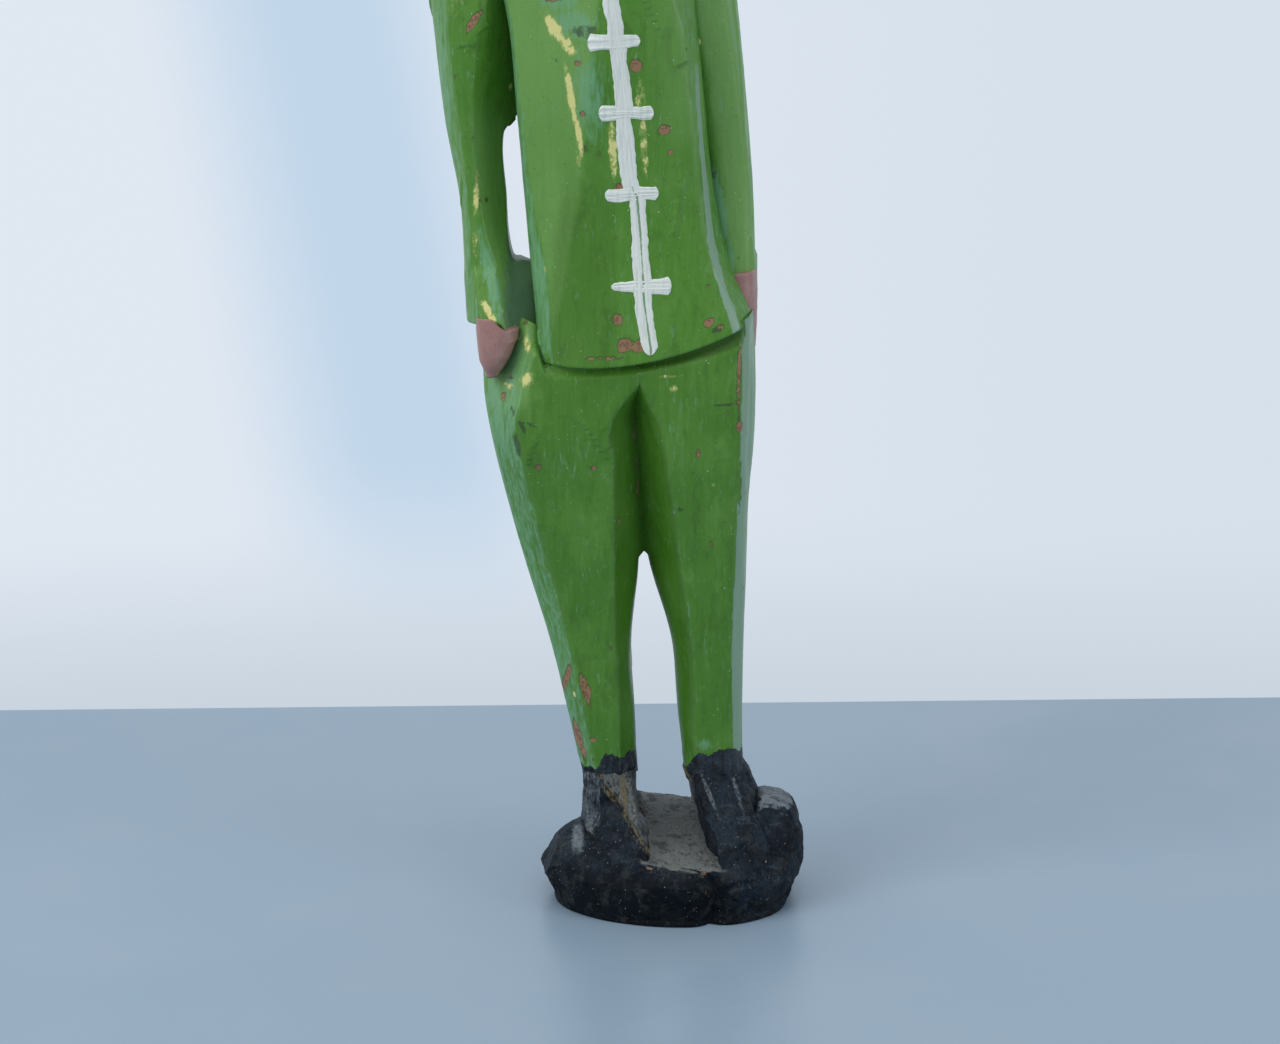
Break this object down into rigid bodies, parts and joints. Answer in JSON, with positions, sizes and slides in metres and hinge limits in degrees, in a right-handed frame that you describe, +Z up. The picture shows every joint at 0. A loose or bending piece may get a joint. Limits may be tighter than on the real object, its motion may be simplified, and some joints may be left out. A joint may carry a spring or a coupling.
{
  "type": "carved figurine",
  "caption": "Hand-carved painted wooden statuette of a standing man in a green suit with white braid, hands in trouser pockets, black shoes on a rough block base.",
  "frame": {"origin": "middle of the flat underside of the base, where the figurine rests on its shelf", "axes": "+Z up, -Y the way the figure faces, -X the figure's own right side, towards which it leans"},
  "size_m": [0.0913, 0.059, 0.3172],
  "materials": {
    "green_paint": "semi-gloss green enamel brushed on carved wood",
    "white_paint": "white enamel braid brushed over the green",
    "skin_paint": "satin red-brown paint on carved wood",
    "hair_paint": "satin black paint on carved wood",
    "black_paint": "worn black paint on carved wood",
    "charcoal_wood": "blackened rough-chopped wood"
  },
  "bodies": {
    "root": {"base_mound": "charcoal_wood", "shoe_right": "black_paint", "shoe_left": "black_paint", "trouser_leg_right": "green_paint", "trouser_leg_left": "green_paint", "jacket_body": "green_paint", "sleeve_right": "green_paint", "sleeve_left": "green_paint", "hand_right": "skin_paint", "hand_left": "skin_paint", "jacket_collar": "green_paint", "neck": "skin_paint", "head": "skin_paint", "ear_right": "skin_paint", "ear_left": "skin_paint", "hair_cap": "hair_paint", "front_piping": "white_paint", "braid_bar_1": "white_paint", "braid_bar_2": "white_paint", "braid_bar_3": "white_paint", "braid_bar_4": "white_paint", "braid_bar_5": "white_paint", "braid_bar_6": "white_paint"}
  },
  "joints": []
}
